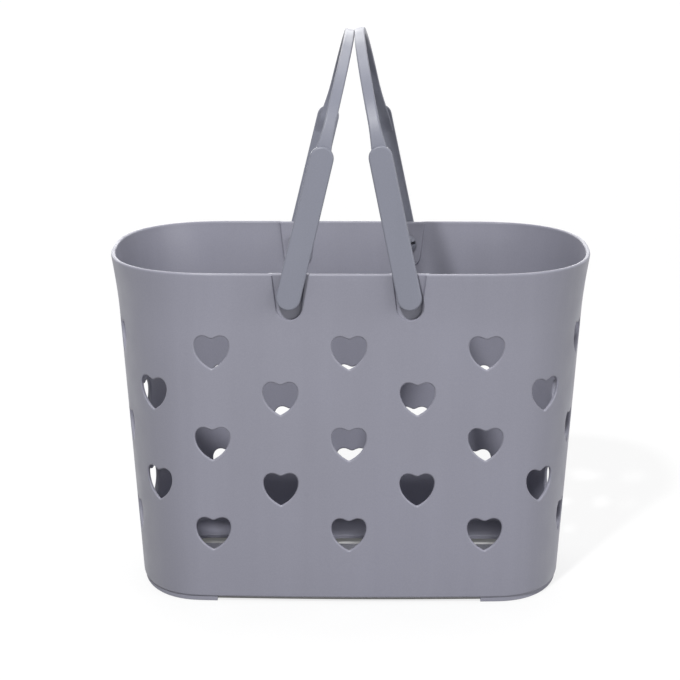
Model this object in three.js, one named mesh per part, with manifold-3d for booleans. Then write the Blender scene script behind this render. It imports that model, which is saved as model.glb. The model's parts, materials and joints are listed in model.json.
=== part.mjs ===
// Folding shower basket: a tapered moulded basket with heart-shaped openings, and two arched
// handles that turn on split studs in its long walls. Millimetres, +Z up, the origin on the
// surface that it stands on, below the middle of the basket. The long walls face -Y and +Y.
import * as THREE from 'three';
import { mergeVertices } from 'three/addons/utils/BufferGeometryUtils.js';
import Module from 'manifold-3d';

const wasm = await Module();
wasm.setup();

// Basket: outside sizes at the rim and at the base, and the wall
const RIM_LENGTH = 246.4;
const RIM_DEPTH = 160;
const RIM_HEIGHT = 170.2;
const BASE_LENGTH = 216.7;
const BASE_DEPTH = 143.1;
const WALL = 2.2;
const FLOOR = 2;

// Plan of the basket: a nearly straight stretch front and back, and rounded ends
const STRAIGHT_RIM = 63;
const STRAIGHT_BASE = 74.2;
const CORNER_POWER_RIM = 2.5;
const CORNER_POWER_BASE = 2.3;
const BOW_RIM = 1;
const BOW_BASE = 4.6;

// Outward flare below the rim, and the rounding of the rim and of the base's edge
const FLARE = 1.75;
const FLARE_HEIGHT = 26.5;
const FLARE_POWER = 1.5;
const FLARE_SECTIONS = [0, 0.35, 0.6, 0.8];
const RIM_ROUND = 0.6;
const BASE_ROUND = 1;
const FLOOR_FILLET = 2.2;

// Inset and rise of the middle of a quarter round, as a share of its radius
const ROUND_MIDDLE = 1 - Math.SQRT1_2;

// Two crescent feet under the ends
const FOOT_HEIGHT = 2.4;
const FOOT_WIDTH = 8;
const FOOT_INSET = 0.5;
const FOOT_START = 66.5;

// Heart-shaped openings: five staggered rows all round, evenly spaced between the lowest row's
// height and the top row's drop below the rim
const HEART_WIDTH = 17.3;
const HEART_HEIGHT = 16.7;
const HEART_PITCH = 68.1;
const HEART_END_PITCH = 63.6;
const HEART_ROWS = 5;
const HEART_LOW_ROW = 35.8;
const HEART_TOP_DROP = 40.4;
const HEART_ROW_STEP = (RIM_HEIGHT - HEART_TOP_DROP - HEART_LOW_ROW) / (HEART_ROWS - 1);
const HEART_CUT_DEPTH = 20;

// Drain slots in the floor, in staggered rows
const SLOT_LENGTH = 24;
const SLOT_WIDTH = 16.5;
const SLOT_PITCH = 36;
const SLOT_ROW_STEP = 28.5;
const SLOT_MARGIN = 3;

// Pivots of the handles, and the recess that each arm's root stands over
const PIVOT_X = 29.7;
const PIVOT_DROP = 11.6;
const PIVOT_Z = RIM_HEIGHT - PIVOT_DROP;
const RECESS_DEPTH = 1.4;
const RECESS_TOP_WIDTH = 16.6;
const RECESS_BOTTOM_RADIUS = 6.2;
const RECESS_DROP = 23.5;
const RECESS_BOTTOM_Z = RIM_HEIGHT - RECESS_DROP;
const PAD_BORDER = 1.6;
const HOLE_RADIUS = 4.3;

// Handle: two arm plates joined by an arched strap
const ARM_LENGTH = 70.9;
const ARM_ROOT_RADIUS = 6.1;
const ARM_TOP_RADIUS = 5.9;
const ARM_THICKNESS = 3;
const ARM_EDGE = 0.6;
const HANDLE_HEIGHT = 126.5;
const STRAP_WIDTH = 5.6;
const STRAP_CROWN_WIDTH = 4.9;
const STRAP_FOOT_WIDTH = 9;
const STRAP_FOOT_LENGTH = 20;
const STRAP_THICKNESS = 3.5;
const STRAP_EDGE = 0.9;
const STRAP_SETBACK = 1.5;
const STRAP_OVERLAP = 8;
const ARCH_POWER = 2.2;
const REST_SHIFT = THREE.MathUtils.degToRad(0.95);

// Snap studs on the arms
const STUD_CLEARANCE = 0.3;
const BOSS_RADIUS = 5.2;
const LIP_OVERHANG = 0.7;
const LIP_LENGTH = 1.2;
const LEAD_IN_LENGTH = 1.7;
const SLIT_WIDTH = 1.6;

// Running clearances
const ARM_CLEARANCE = 0.4;
const FACE_CLEARANCE = 0.3;
const REST_CLEARANCE = 0.3;

// Fineness of the curves
const CORNER_STEPS = 10;
const GIRTH_STEPS = 40;
const STRAIGHT_STEPS = 2;
const HEART_STEPS = 3;
const SLOT_STEPS = 3;
const RECESS_STEPS = 6;
const ARM_STEPS = 5;
const ARCH_STEPS = 14;
const ROUND_STEPS = 16;

const PLASTIC = { color: new THREE.Color(0x8f8f9c), roughness: 0.48, metalness: 0 };

// Closed geometry to solid
function toSolid(geometry) {
  const bare = geometry.clone();
  bare.deleteAttribute('normal');
  bare.deleteAttribute('uv');
  const merged = mergeVertices(bare, 1e-4);
  const index = merged.index.array;
  const faces = [];
  for (let i = 0; i < index.length; i += 3) {
    const [a, b, c] = index.slice(i, i + 3);
    if (a !== b && b !== c && c !== a) {
      faces.push(a, b, c);
    }
  }
  const mesh = new wasm.Mesh({
    numProp: 3,
    vertProperties: new Float32Array(merged.attributes.position.array),
    triVerts: new Uint32Array(faces),
  });
  return new wasm.Manifold(mesh);
}

// Solid to geometry
function toGeometry(solid) {
  const mesh = solid.getMesh();
  const geometry = new THREE.BufferGeometry();
  geometry.setAttribute('position', new THREE.BufferAttribute(mesh.vertProperties, 3));
  geometry.setIndex(new THREE.BufferAttribute(mesh.triVerts, 1));
  geometry.computeVertexNormals();
  return geometry;
}

function join(solids) {
  return solids.reduce((sum, solid) => sum.add(solid));
}

// Skin over rings that hold the same number of points, closed by a fan at each end
function loft(rings) {
  const count = rings[0].length;
  const points = rings.flat();
  const faces = [];
  for (let ring = 0; ring + 1 < rings.length; ring += 1) {
    for (let i = 0; i < count; i += 1) {
      const next = (i + 1) % count;
      const low = ring * count;
      const high = low + count;
      faces.push(low + i, low + next, high + next);
      faces.push(low + i, high + next, high + i);
    }
  }
  const last = (rings.length - 1) * count;
  const middle = (ring) => ring.reduce((sum, p) => sum.add(p), new THREE.Vector3()).divideScalar(count);
  const start = points.length;
  points.push(middle(rings[0]), middle(rings[rings.length - 1]));
  for (let i = 0; i < count; i += 1) {
    const next = (i + 1) % count;
    faces.push(start, next, i);
    faces.push(start + 1, last + i, last + next);
  }
  const geometry = new THREE.BufferGeometry().setFromPoints(points);
  geometry.setIndex(faces);
  return toSolid(geometry);
}

// The basket's outside at a height: half length, half depth, half straight stretch, bow and the
// power of its round ends
function sizeAt(z) {
  const widest = RIM_HEIGHT - RIM_ROUND;
  const share = z / widest;
  const rise = Math.max(0, 1 - (widest - z) / FLARE_HEIGHT);
  const flare = FLARE * Math.min(1, rise) ** FLARE_POWER;
  const mix = (base, rim) => base + (rim - base) * share;
  return {
    length: mix(BASE_LENGTH / 2, RIM_LENGTH / 2 - FLARE) + flare,
    depth: mix(BASE_DEPTH / 2, RIM_DEPTH / 2 - FLARE) + flare,
    straight: mix(STRAIGHT_BASE, STRAIGHT_RIM),
    bow: mix(BOW_BASE, BOW_RIM),
    power: mix(CORNER_POWER_BASE, CORNER_POWER_RIM),
  };
}

// One quarter of the outline, from the middle of an end to the middle of the front or back
function quarterOutline(size, steps) {
  const { length, depth, straight, bow, power } = size;
  const flatDepth = depth - bow;
  const points = [];
  const bowed = (x, y) => new THREE.Vector2(x, y + bow * (1 - (x / length) ** 2) * (y / flatDepth));
  for (let i = 0; i <= steps; i += 1) {
    const angle = (i / steps) * (Math.PI / 2);
    const x = straight + (length - straight) * Math.cos(angle) ** (2 / power);
    const y = flatDepth * Math.sin(angle) ** (2 / power);
    points.push(bowed(i === steps ? straight : x, y));
  }
  for (let i = 1; i <= STRAIGHT_STEPS; i += 1) {
    points.push(bowed(straight * (1 - i / STRAIGHT_STEPS), flatDepth));
  }
  return points;
}

// Whole outline, counter-clockwise seen from above, from the middle of the right end
function outline(z, steps = CORNER_STEPS) {
  const quarter = quarterOutline(sizeAt(z), steps);
  const back = quarter.slice(0, -1);
  const left = quarter.slice(1).reverse().map((p) => new THREE.Vector2(-p.x, p.y));
  const half = [...back, ...left];
  return [...half, ...half.map((p) => p.clone().negate())];
}

// The outline drawn in by an even distance, as a ring at a height
function ring(z, inset, atHeight = z) {
  const flat = outline(z);
  return flat.map((point, i) => {
    const before = flat[(i + flat.length - 1) % flat.length];
    const after = flat[(i + 1) % flat.length];
    const along = after.clone().sub(before).normalize();
    return new THREE.Vector3(point.x - along.y * inset, point.y + along.x * inset, atHeight);
  });
}

// Heights at which the wall's section changes
function wallHeights(low, high) {
  const flareStart = RIM_HEIGHT - RIM_ROUND - FLARE_HEIGHT;
  const flareHeights = FLARE_SECTIONS.map((share) => flareStart + FLARE_HEIGHT * share);
  return [low, ...flareHeights.filter((z) => z > low && z < high), high];
}

// Solid inside a surface that runs parallel to the wall's outside
function core(inset, low, high) {
  return loft(wallHeights(low, high).map((z) => ring(z, inset)));
}

// Outside of the basket with its rounded base edge and rim
function outerForm() {
  const base = FOOT_HEIGHT;
  const rings = [
    ring(base, BASE_ROUND),
    ring(base + BASE_ROUND * ROUND_MIDDLE, BASE_ROUND * ROUND_MIDDLE),
    ...wallHeights(base + BASE_ROUND, RIM_HEIGHT - RIM_ROUND).map((z) => ring(z, 0)),
    ring(RIM_HEIGHT, RIM_ROUND),
  ];
  return loft(rings);
}

// Hollow of the basket, a little wider at the mouth where the rim is rounded
function innerForm() {
  const floorTop = FOOT_HEIGHT + FLOOR;
  const mouth = [
    ...wallHeights(floorTop + FLOOR_FILLET, RIM_HEIGHT - RIM_ROUND).map((z) => ring(z, WALL)),
    ring(RIM_HEIGHT, WALL - RIM_ROUND),
    ring(RIM_HEIGHT, WALL - RIM_ROUND, RIM_HEIGHT + WALL),
  ];
  const corner = [
    ring(floorTop, WALL + FLOOR_FILLET),
    ring(floorTop + FLOOR_FILLET * ROUND_MIDDLE, WALL + FLOOR_FILLET * ROUND_MIDDLE),
  ];
  return loft([...corner, ...mouth]);
}

// Prism of an outline in the XZ plane, running through the basket from front to back
function prismAlongY(shape, low, high) {
  const geometry = new THREE.ExtrudeGeometry(shape, {
    depth: high - low, bevelEnabled: false, curveSegments: RECESS_STEPS,
  });
  geometry.rotateX(Math.PI / 2);
  geometry.translate(0, high, 0);
  return toSolid(geometry);
}

// Tapered U round a pivot, open above the rim
function recessShape(side, border) {
  const centre = side * PIVOT_X;
  const radius = RECESS_BOTTOM_RADIUS + border;
  const arcZ = RECESS_BOTTOM_Z + RECESS_BOTTOM_RADIUS;
  const half = RECESS_TOP_WIDTH / 2 + border;
  const top = RIM_HEIGHT + WALL;
  const spread = half + ((half - radius) * WALL) / (RIM_HEIGHT - arcZ);
  const shape = new THREE.Shape();
  shape.moveTo(centre + spread, top);
  shape.lineTo(centre - spread, top);
  shape.lineTo(centre - radius, arcZ);
  shape.absarc(centre, arcZ, radius, Math.PI, Math.PI * 2, false);
  shape.closePath();
  return shape;
}

// Heart, its middle at the origin, its point down
function heartShape() {
  const x = (share) => share * HEART_WIDTH;
  const y = (share) => HEART_HEIGHT / 2 - share * HEART_HEIGHT;
  const shape = new THREE.Shape();
  shape.moveTo(x(0), y(0.08));
  shape.bezierCurveTo(x(0.08), y(0.065), x(0.15), y(0), x(0.26), y(0));
  shape.bezierCurveTo(x(0.4), y(0), x(0.5), y(0.12), x(0.5), y(0.29));
  shape.bezierCurveTo(x(0.5), y(0.52), x(0.355), y(0.8), x(0.035), y(1));
  shape.lineTo(x(-0.035), y(1));
  shape.bezierCurveTo(x(-0.355), y(0.8), x(-0.5), y(0.52), x(-0.5), y(0.29));
  shape.bezierCurveTo(x(-0.5), y(0.12), x(-0.4), y(0), x(-0.26), y(0));
  shape.bezierCurveTo(x(-0.15), y(0), x(-0.08), y(0.065), x(0), y(0.08));
  return shape;
}

// Point and outward direction on the wall, at a distance along it from the middle of the front
function wallStation(z, distance) {
  const flat = outline(z, GIRTH_STEPS);
  const front = (flat.length * 3) / 4;
  const total = flat.reduce((sum, p, i) => sum + p.distanceTo(flat[(i + 1) % flat.length]), 0);
  let left = ((distance % total) + total) % total;
  for (let i = 0; i < flat.length; i += 1) {
    const a = flat[(front + i) % flat.length];
    const b = flat[(front + i + 1) % flat.length];
    const step = a.distanceTo(b);
    if (left <= step) {
      const along = b.clone().sub(a).normalize();
      return { point: a.clone().addScaledVector(along, left), out: new THREE.Vector2(along.y, -along.x) };
    }
    left -= step;
  }
  return null;
}

// Distance once round the wall at a height
function wallGirth(z) {
  const flat = outline(z, GIRTH_STEPS);
  return flat.reduce((sum, p, i) => sum + p.distanceTo(flat[(i + 1) % flat.length]), 0);
}

// Hearts of a row, by their distance along the wall from the middle of the front. Even rows have
// three on each long side and two on each end. Odd rows have two on each long side, one on the
// middle of each end, and one at each corner, half-way between these.
function heartStations(z, row) {
  const half = wallGirth(z) / 2;
  const end = half / 2;
  const corner = (HEART_PITCH / 2 + end) / 2;
  const station = (distance, atCorner = false) => ({ distance, atCorner });
  const evenRow = [
    station(-HEART_PITCH), station(0), station(HEART_PITCH),
    station(end - HEART_END_PITCH / 2), station(end + HEART_END_PITCH / 2),
  ];
  const oddRow = [
    station(-HEART_PITCH / 2), station(HEART_PITCH / 2),
    station(corner, true), station(end), station(half - corner, true),
  ];
  const front = row % 2 === 0 ? evenRow : oddRow;
  return [...front, ...front.map(({ distance, atCorner }) => station(distance + half, atCorner))];
}

// The hearts are cut square to the wall, and at the corners half-way between that and straight
// through from the front or back
function heartCutters() {
  const cutter = new THREE.ExtrudeGeometry(heartShape(), {
    depth: HEART_CUT_DEPTH, bevelEnabled: false, curveSegments: HEART_STEPS,
  });
  cutter.translate(0, 0, -HEART_CUT_DEPTH / 2);
  const up = new THREE.Vector3(0, 0, 1);
  const cutters = [];
  for (let row = 0; row < HEART_ROWS; row += 1) {
    const z = HEART_LOW_ROW + row * HEART_ROW_STEP;
    for (const { distance, atCorner } of heartStations(z, row)) {
      const { point, out } = wallStation(z, distance);
      const straight = atCorner ? Math.sign(out.y) : 0;
      const pull = new THREE.Vector3(out.x, out.y + straight, 0).normalize();
      const across = new THREE.Vector3().crossVectors(up, pull);
      const frame = new THREE.Matrix4().makeBasis(across, up, pull).setPosition(point.x, point.y, z);
      cutters.push(toSolid(cutter.clone().applyMatrix4(frame)));
    }
  }
  return cutters;
}

function slotShape(x, y) {
  const radius = SLOT_WIDTH / 2;
  const half = SLOT_LENGTH / 2 - radius;
  const shape = new THREE.Shape();
  shape.absarc(x + half, y, radius, -Math.PI / 2, Math.PI / 2, false);
  shape.absarc(x - half, y, radius, Math.PI / 2, (Math.PI * 3) / 2, false);
  shape.closePath();
  return shape;
}

// Drain slots wherever a whole slot and its margin fit on the flat of the floor
function slotCutters() {
  const { length, depth, straight, power } = sizeAt(0);
  const edge = BASE_ROUND + FOOT_INSET + FOOT_WIDTH + SLOT_MARGIN;
  const fits = (x, y) => {
    const farX = Math.max(0, Math.abs(x) + SLOT_LENGTH / 2 + edge - straight) / (length - straight);
    const farY = (Math.abs(y) + SLOT_WIDTH / 2 + edge) / depth;
    return farX ** power + farY ** power < 1;
  };
  const rows = Math.floor(depth / SLOT_ROW_STEP);
  const columns = Math.ceil(length / SLOT_PITCH);
  const cutters = [];
  for (let row = -rows; row <= rows; row += 1) {
    const shift = row % 2 === 0 ? 0.5 : 0;
    for (let column = -columns; column <= columns; column += 1) {
      const x = (column + shift) * SLOT_PITCH;
      const y = row * SLOT_ROW_STEP;
      if (fits(x, y)) {
        const slot = new THREE.ExtrudeGeometry(slotShape(x, y), {
          depth: FOOT_HEIGHT + FLOOR + WALL, bevelEnabled: false, curveSegments: SLOT_STEPS,
        });
        cutters.push(toSolid(slot));
      }
    }
  }
  return cutters;
}

// Crescent under each end that follows the base's outline
function feet() {
  const sunk = FLOOR / 2;
  const low = ring(FOOT_HEIGHT, BASE_ROUND + FOOT_INSET, 0);
  const high = ring(FOOT_HEIGHT, BASE_ROUND + FOOT_INSET, FOOT_HEIGHT + sunk);
  const lowInside = ring(FOOT_HEIGHT, BASE_ROUND + FOOT_INSET + FOOT_WIDTH, -sunk);
  const highInside = ring(FOOT_HEIGHT, BASE_ROUND + FOOT_INSET + FOOT_WIDTH, FOOT_HEIGHT + FLOOR);
  const crescents = loft([low, high]).subtract(loft([lowInside, highInside]));
  const between = new THREE.BoxGeometry(FOOT_START * 2, RIM_DEPTH, RIM_HEIGHT);
  return crescents.subtract(toSolid(between));
}

// Distance of a handle recess's floor from the middle plane at a height
function recessFloor(z) {
  const { length, depth, bow } = sizeAt(z);
  return depth - bow * (PIVOT_X / length) ** 2 - RECESS_DEPTH;
}

function pivotHole(side) {
  const hole = new THREE.CylinderGeometry(HOLE_RADIUS, HOLE_RADIUS, RIM_DEPTH + 2 * WALL, ROUND_STEPS);
  hole.translate(side * PIVOT_X, 0, PIVOT_Z);
  return toSolid(hole);
}

function basketBody() {
  const mouth = RIM_HEIGHT + WALL;
  let body = outerForm().subtract(innerForm());
  for (const side of [-1, 1]) {
    const padZone = prismAlongY(recessShape(side, PAD_BORDER), -RIM_DEPTH, RIM_DEPTH);
    const padBody = core(WALL / 2, FOOT_HEIGHT, RIM_HEIGHT);
    const pad = padBody.subtract(core(RECESS_DEPTH + WALL, FOOT_HEIGHT, mouth)).intersect(padZone);
    const recessZone = prismAlongY(recessShape(side, 0), -RIM_DEPTH, RIM_DEPTH);
    const recess = recessZone.subtract(core(RECESS_DEPTH, FOOT_HEIGHT, mouth));
    body = body.add(pad).subtract(recess).subtract(pivotHole(side));
  }
  body = body.add(feet());
  return body.subtract(join(heartCutters())).subtract(join(slotCutters()));
}

// Arm plate in the handle's own frame: X across the arm, Y out of the basket, Z from the pivot up
function armPlate(innerFace) {
  const flat = ARM_THICKNESS - 2 * ARM_EDGE;
  const slope = Math.asin((ARM_ROOT_RADIUS - ARM_TOP_RADIUS) / ARM_LENGTH);
  const root = ARM_ROOT_RADIUS - ARM_EDGE;
  const top = ARM_TOP_RADIUS - ARM_EDGE;
  const shape = new THREE.Shape();
  shape.absarc(0, 0, root, Math.PI - slope, Math.PI * 2 + slope, false);
  shape.absarc(0, ARM_LENGTH, top, slope, Math.PI - slope, false);
  shape.closePath();
  const geometry = new THREE.ExtrudeGeometry(shape, {
    depth: flat, bevelEnabled: true, bevelThickness: ARM_EDGE, bevelSize: ARM_EDGE,
    bevelSegments: 1, curveSegments: ARM_STEPS,
  });
  geometry.rotateX(Math.PI / 2);
  geometry.translate(0, innerFace + ARM_THICKNESS - ARM_EDGE, 0);
  return toSolid(geometry);
}

// Half of the strap's centre line, from behind an arm's top to the middle of the arch
function archPoint(share, foot, crown) {
  const straightEnd = ARM_LENGTH;
  if (share < 0) {
    return new THREE.Vector2(foot, straightEnd + share * STRAP_OVERLAP);
  }
  const angle = share * (Math.PI / 2);
  return new THREE.Vector2(
    foot * Math.cos(angle) ** (2 / ARCH_POWER),
    straightEnd + (crown - straightEnd) * Math.sin(angle) ** (2 / ARCH_POWER),
  );
}

// Width of the strap at a share of the arch: spread at the arms and narrow at the crown
function strapWidth(share, height) {
  const spread = Math.max(0, 1 - Math.max(0, height - ARM_LENGTH) / STRAP_FOOT_LENGTH) ** 2;
  const narrow = Math.max(0, share) ** 3;
  const footGain = (STRAP_FOOT_WIDTH - STRAP_WIDTH) * spread;
  const crownLoss = (STRAP_WIDTH - STRAP_CROWN_WIDTH) * narrow;
  return STRAP_WIDTH + footGain - crownLoss;
}

// Points round the strap's section: across it, and out from its middle
function strapSection(width) {
  const side = width / 2;
  const face = STRAP_THICKNESS / 2;
  const corner = [[side, face - STRAP_EDGE], [side - STRAP_EDGE, face]];
  const outer = [...corner, ...corner.map(([x, r]) => [-x, r]).reverse()];
  return [...outer, ...outer.map(([x, r]) => [-x, -r])];
}

// Arched strap: a flat bar with broken edges, swept over from one arm to the other
function archedStrap(outerFace) {
  const foot = outerFace - STRAP_SETBACK - STRAP_THICKNESS / 2;
  const crown = HANDLE_HEIGHT - STRAP_THICKNESS / 2;
  const shares = [-1, ...Array.from({ length: ARCH_STEPS + 1 }, (_, i) => i / ARCH_STEPS)];
  const right = shares.map((share) => archPoint(share, foot, crown));
  const left = right.slice(0, -1).reverse().map((p) => new THREE.Vector2(-p.x, p.y));
  const line = [...right, ...left];
  const lineShares = [...shares, ...shares.slice(0, -1).reverse()];
  const rings = line.map((point, i) => {
    const before = line[Math.max(0, i - 1)];
    const after = line[Math.min(line.length - 1, i + 1)];
    const along = after.clone().sub(before).normalize();
    const out = new THREE.Vector2(along.y, -along.x);
    const section = strapSection(strapWidth(lineShares[i], point.y));
    return section.map(([x, r]) => new THREE.Vector3(x, point.x + out.x * r, point.y + out.y * r));
  });
  return loft(rings);
}

// Boss, split stud and lip, turned about the pivot's axis
function snapStud(innerFace) {
  const studRadius = HOLE_RADIUS - STUD_CLEARANCE;
  const lipRadius = studRadius + LIP_OVERHANG + STUD_CLEARANCE;
  const bossEnd = recessFloor(PIVOT_Z + BOSS_RADIUS) + FACE_CLEARANCE;
  const lipStart = recessFloor(PIVOT_Z - lipRadius) - WALL - FACE_CLEARANCE;
  const lipEnd = lipStart - LIP_LENGTH;
  const tip = lipEnd - LEAD_IN_LENGTH;
  const root = innerFace + ARM_THICKNESS / 2;
  const profile = [
    [0, tip], [studRadius - ARM_EDGE, tip], [lipRadius, lipEnd], [lipRadius, lipStart],
    [studRadius, lipStart], [studRadius, bossEnd], [BOSS_RADIUS, bossEnd], [BOSS_RADIUS, root], [0, root],
  ];
  const stud = new THREE.LatheGeometry(profile.map(([r, y]) => new THREE.Vector2(r, y)), ROUND_STEPS);
  const slitEnd = bossEnd - FACE_CLEARANCE;
  const slit = new THREE.BoxGeometry(BOSS_RADIUS * 2, slitEnd - tip + SLIT_WIDTH, SLIT_WIDTH);
  slit.translate(0, (slitEnd + tip - SLIT_WIDTH) / 2, 0);
  return toSolid(stud).subtract(toSolid(slit));
}

// Handle with its pivot axis on Y and its strap upright
function handleForm() {
  const innerFace = RIM_DEPTH / 2 + ARM_CLEARANCE;
  const backArm = armPlate(innerFace).add(snapStud(innerFace));
  const frontArm = toSolid(toGeometry(backArm).rotateZ(Math.PI));
  const strap = archedStrap(innerFace + ARM_THICKNESS);
  return join([backArm, frontArm, strap]);
}

// Leans at which the two handles rest on each other, turned a little to the right together
function restLeans() {
  const reach = HANDLE_HEIGHT - STRAP_EDGE;
  const half = STRAP_CROWN_WIDTH / 2;
  const toMiddle = Math.asin((PIVOT_X - REST_CLEARANCE / 2) / Math.hypot(reach, half));
  const left = toMiddle - Math.atan2(half, reach) + REST_SHIFT;
  const cornerX = -PIVOT_X + reach * Math.sin(left) + half * Math.cos(left);
  const cornerZ = reach * Math.cos(left) - half * Math.sin(left);
  const span = Math.hypot(PIVOT_X - cornerX, cornerZ);
  const right = Math.atan2(PIVOT_X - cornerX, cornerZ) - Math.asin((half + REST_CLEARANCE) / span);
  return { left, right };
}

function namedMesh(name, solid) {
  const mesh = new THREE.Mesh(toGeometry(solid), new THREE.MeshStandardMaterial(PLASTIC));
  mesh.name = name;
  return mesh;
}

function placedHandle(name, side, lean) {
  const pivot = new THREE.Group();
  pivot.position.set(side * PIVOT_X, 0, PIVOT_Z);
  pivot.rotation.y = lean;
  pivot.add(namedMesh(name, handleForm()));
  return pivot;
}

const leans = restLeans();
const basket = new THREE.Group();
basket.add(namedMesh('basket_body', basketBody()));
basket.add(placedHandle('left_handle', -1, leans.left));
basket.add(placedHandle('right_handle', 1, -leans.right));

export default basket;
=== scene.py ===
"""Folding shower basket: fine meshes for the basket and its two handles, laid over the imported
frame, with satin plastic, soft studio light and the photograph's camera. Metres, Z up."""
import json
import math

import bpy
import numpy as np
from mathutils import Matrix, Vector
from mathutils.geometry import delaunay_2d_cdt


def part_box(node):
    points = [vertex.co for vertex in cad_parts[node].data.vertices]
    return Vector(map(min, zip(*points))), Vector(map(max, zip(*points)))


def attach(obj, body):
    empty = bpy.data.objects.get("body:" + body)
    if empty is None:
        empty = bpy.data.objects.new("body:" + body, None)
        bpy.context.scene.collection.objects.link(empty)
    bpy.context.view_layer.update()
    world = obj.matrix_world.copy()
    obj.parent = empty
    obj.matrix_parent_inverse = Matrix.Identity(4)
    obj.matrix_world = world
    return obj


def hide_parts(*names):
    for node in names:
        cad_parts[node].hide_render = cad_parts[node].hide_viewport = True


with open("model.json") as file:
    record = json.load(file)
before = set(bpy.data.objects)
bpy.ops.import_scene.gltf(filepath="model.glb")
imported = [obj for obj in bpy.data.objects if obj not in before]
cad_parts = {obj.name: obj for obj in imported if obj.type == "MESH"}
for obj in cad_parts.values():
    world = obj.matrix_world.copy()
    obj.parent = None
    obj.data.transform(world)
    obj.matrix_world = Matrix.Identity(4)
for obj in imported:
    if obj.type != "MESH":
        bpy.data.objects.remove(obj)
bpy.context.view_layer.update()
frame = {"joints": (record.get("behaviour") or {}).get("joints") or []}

# Basket: the outside at the rim comes from the frame
body_low, body_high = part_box("basket_body")
RIM_LENGTH = body_high[0] - body_low[0]
RIM_DEPTH = body_high[1] - body_low[1]
RIM_HEIGHT = body_high[2]
BASE_LENGTH = 0.2167
BASE_DEPTH = 0.1431
WALL = 0.0022
FLOOR = 0.002

# Plan of the basket: a nearly straight stretch front and back, and rounded ends
STRAIGHT_RIM = 0.063
STRAIGHT_BASE = 0.0742
POWER_RIM = 2.5
POWER_BASE = 2.3
BOW_RIM = 0.001
BOW_BASE = 0.0046

# Shares of the girth at the middles of the front and back, and of the ends
SIDES = (0, 0.5)
ENDS = (0.25, 0.75)

# Outward flare below the rim, and the rounded edges
FLARE = 0.00175
FLARE_HEIGHT = 0.0265
FLARE_POWER = 1.5
RIM_ROUND = 0.001
BASE_ROUND = 0.001
FLOOR_FILLET = 0.0022

# Two crescent feet under the ends
FOOT_HEIGHT = 0.0024
FOOT_WIDTH = 0.008
FOOT_INSET = 0.0005
FOOT_START = 0.0665
FOOT_ROUND = 0.0003
FOOT_FACE = 0.0009

# Heights between which the wall's mesh lies, and the two sides of the floor: facing and height
WALL_LOW = FOOT_HEIGHT + FLOOR + FLOOR_FILLET
WALL_HIGH = RIM_HEIGHT - RIM_ROUND
FLOOR_SIDES = ((-1, FOOT_HEIGHT), (1, FOOT_HEIGHT + FLOOR))

# Heart-shaped openings: five staggered rows all round
HEART_WIDTH = 0.0173
HEART_HEIGHT = 0.0167
HEART_PITCH = 0.0681
HEART_END_PITCH = 0.0636
HEART_ROWS = 5
HEART_LOW_ROW = 0.0358
HEART_ROW_STEP = 0.0235
HEART_ROUND = 0.0009

# A heart's right half from the notch to the tip, in widths and heights: cubic curves and steps
HEART_HALF = (
    (((0, 0.08), (0.07, 0.08), (0.15, 0), (0.26, 0)), 7),
    (((0.26, 0), (0.4, 0), (0.5, 0.12), (0.5, 0.29)), 7),
    (((0.5, 0.29), (0.5, 0.52), (0.365, 0.79), (0.075, 0.965)), 8),
    (((0.075, 0.965), (0.0465, 0.9825), (0.03, 1), (0, 1)), 3),
)

# Drain slots in the floor, in staggered rows
SLOT_LENGTH = 0.024
SLOT_WIDTH = 0.0165
SLOT_PITCH = 0.036
SLOT_ROW_STEP = 0.0285
SLOT_MARGIN = 0.003
SLOT_ROUND = 0.0004

# Pivots of the handles, from the frame, and the recess that each arm's root stands over
pivot = frame["joints"][0]["pos_m"]
PIVOT_X = abs(pivot[0])
PIVOT_Z = pivot[2]
RECESS_DEPTH = 0.0014
RECESS_TOP_WIDTH = 0.0166
RECESS_BOTTOM_RADIUS = 0.0062
RECESS_BOTTOM_Z = 0.1467
RECESS_EDGE = 0.0004
PAD_BORDER = 0.0016
HOLE_RADIUS = 0.0043
HOLE_ROUND = 0.0003

# Middle of the arc at a recess's bottom, and how the recess spreads from there to the rim
RECESS_ARC_Z = RECESS_BOTTOM_Z + RECESS_BOTTOM_RADIUS
RECESS_SPREAD = (RECESS_TOP_WIDTH / 2 - RECESS_BOTTOM_RADIUS) / (RIM_HEIGHT - RECESS_ARC_Z)
RECESS_SLANT = math.cos(math.atan(RECESS_SPREAD))

# Handle: two arm plates joined by an arched strap
ARM_LENGTH = 0.0709
ARM_ROOT_RADIUS = 0.0061
ARM_TOP_RADIUS = 0.0059
ARM_THICKNESS = 0.003
ARM_EDGE = 0.0006
ARM_FACE_ROUND = 0.001
ARM_CLEARANCE = 0.0004
HANDLE_HEIGHT = 0.1265
STRAP_WIDTH = 0.0056
STRAP_CROWN_WIDTH = 0.0049
STRAP_FOOT_WIDTH = 0.009
STRAP_FOOT_LENGTH = 0.020
STRAP_THICKNESS = 0.0035
STRAP_ROUND = 0.0009
STRAP_SETBACK = 0.0015
STRAP_ROOT = 0.011
STRAP_ROOT_WIDTH = 0.0104
STRAP_SINK = 0.0001
STRAP_EDGE = 0.0009
ARCH_POWER = 2.2
REST_CLEARANCE = 0.0003
REST_SHIFT = math.radians(0.95)

# Snap studs on the arms; the core is the share of the stud's radius where its flat tip starts
STUD_CLEARANCE = 0.0003
STUD_CORE = 0.35
BOSS_RADIUS = 0.0052
LIP_OVERHANG = 0.0007
LIP_LENGTH = 0.0012
LEAD_IN_LENGTH = 0.0017
SLIT_WIDTH = 0.0016
FACE_CLEARANCE = 0.0003

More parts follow.
